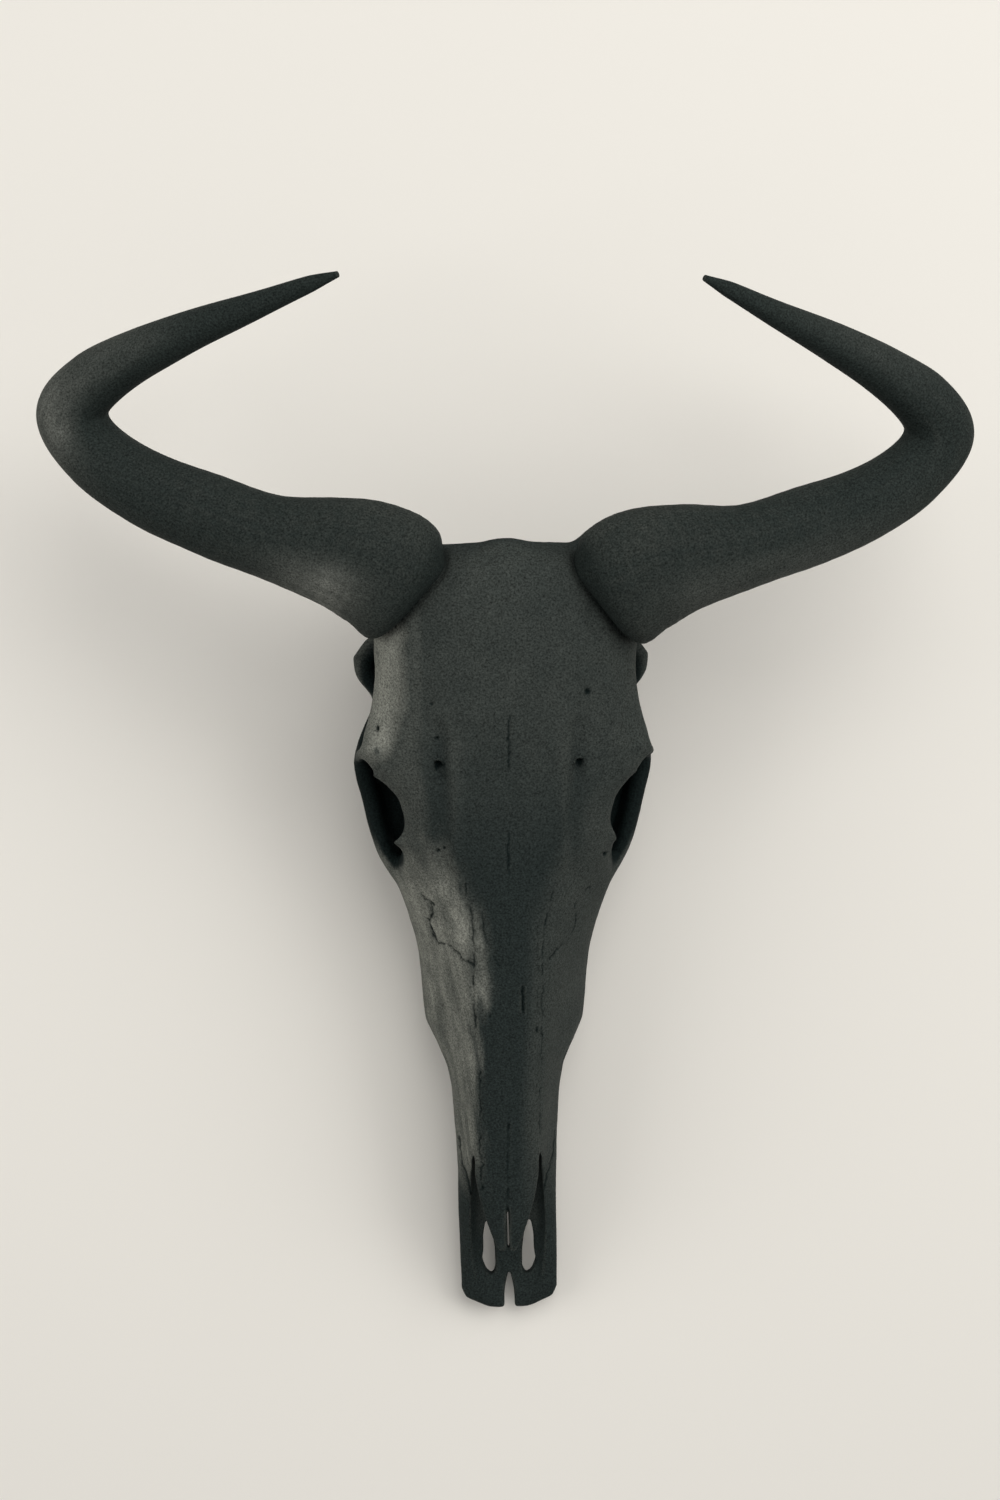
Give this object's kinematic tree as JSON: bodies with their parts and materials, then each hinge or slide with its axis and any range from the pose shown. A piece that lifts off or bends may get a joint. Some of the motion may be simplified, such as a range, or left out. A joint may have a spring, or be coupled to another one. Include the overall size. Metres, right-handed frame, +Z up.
{
  "type": "wildebeest skull",
  "caption": "Decorative wildebeest skull without its lower jaw, painted matt black, with smooth horns that sweep out, bend up and turn back in.",
  "frame": {"origin": "middle of the base of the whole skull's bounding box, on the surface that the skull lies on", "axes": "+Y from the muzzle towards the horns, +Z up from the surface it lies on, +X to the animal's left"},
  "size_m": [0.5684, 0.6396, 0.2528],
  "materials": {
    "painted_bone": "matt black paint over bone",
    "painted_horn": "matt black paint over horn, worn grey at the bends"
  },
  "bodies": {
    "root": {"cranium": "painted_bone", "upper_jaw": "painted_bone", "premaxilla_left": "painted_bone", "premaxilla_right": "painted_bone", "nasal_left": "painted_bone", "nasal_right": "painted_bone", "cheekbone_left": "painted_bone", "cheekbone_right": "painted_bone", "horn_left": "painted_horn", "horn_right": "painted_horn"}
  },
  "joints": []
}
